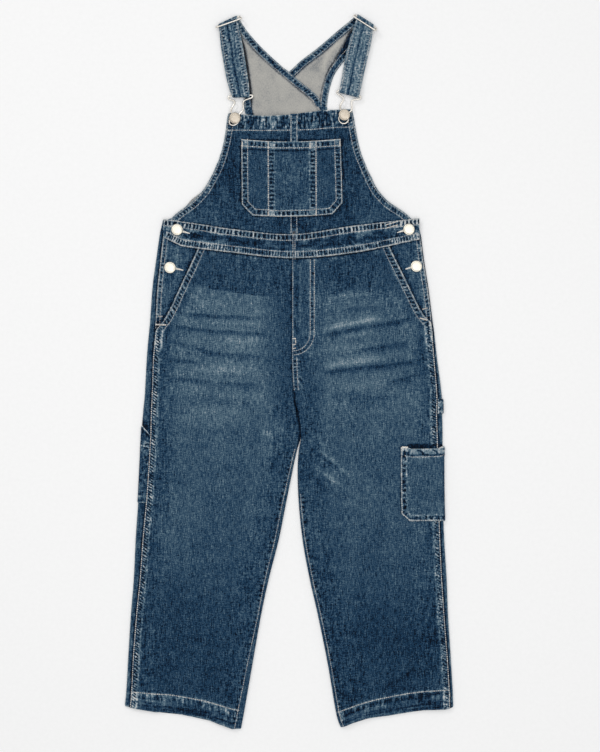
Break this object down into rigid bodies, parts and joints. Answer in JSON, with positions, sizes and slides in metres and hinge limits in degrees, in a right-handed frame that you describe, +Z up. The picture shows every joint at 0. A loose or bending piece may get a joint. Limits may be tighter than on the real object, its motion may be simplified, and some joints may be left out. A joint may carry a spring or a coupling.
{
  "type": "denim dungarees",
  "caption": "Denim dungarees laid flat on their back: bib with stitched pocket, crossed back pieces, buckled straps, side buttons, tool pocket and cropped straight legs.",
  "frame": {"origin": "middle of the garment's outline, on the surface it lies on", "axes": "+Y from the legs to the shoulders, +X to the wearer's left, +Z up from the surface, out of the bib"},
  "size_m": [0.5055, 1.1005, 0.0117],
  "materials": {
    "denim": "washed indigo twill, matt, faded at the hips and thighs",
    "denim_reverse": "undyed weft side of the denim, matt warm grey",
    "nickel": "nickel-plated steel wire, satin",
    "button_nickel": "pale nickel-plated caps, satin, plain"
  },
  "bodies": {
    "root": {"front_leg_left": "denim", "front_leg_right": "denim", "back_leg_left": "denim", "back_leg_right": "denim", "fly_facing": "denim", "hip_facing_left": "denim", "hip_facing_right": "denim", "waistband_left": "denim", "waistband_right": "denim", "waistband_back": "denim", "bib_left": "denim", "bib_right": "denim", "centre_seam": "denim", "bib_pocket": "denim", "back_yoke_left": "denim_reverse", "back_yoke_right": "denim_reverse", "strap_left": "denim", "strap_right": "denim", "tool_pocket": "denim", "hammer_loop": "denim", "ruler_pocket": "denim", "slider_left": "nickel", "slider_right": "nickel", "hook_left": "nickel", "hook_right": "nickel", "button_bib_left": "button_nickel", "button_bib_right": "button_nickel", "button_waist_left": "button_nickel", "button_waist_right": "button_nickel", "button_hip_left": "button_nickel", "button_hip_right": "button_nickel"}
  },
  "joints": []
}
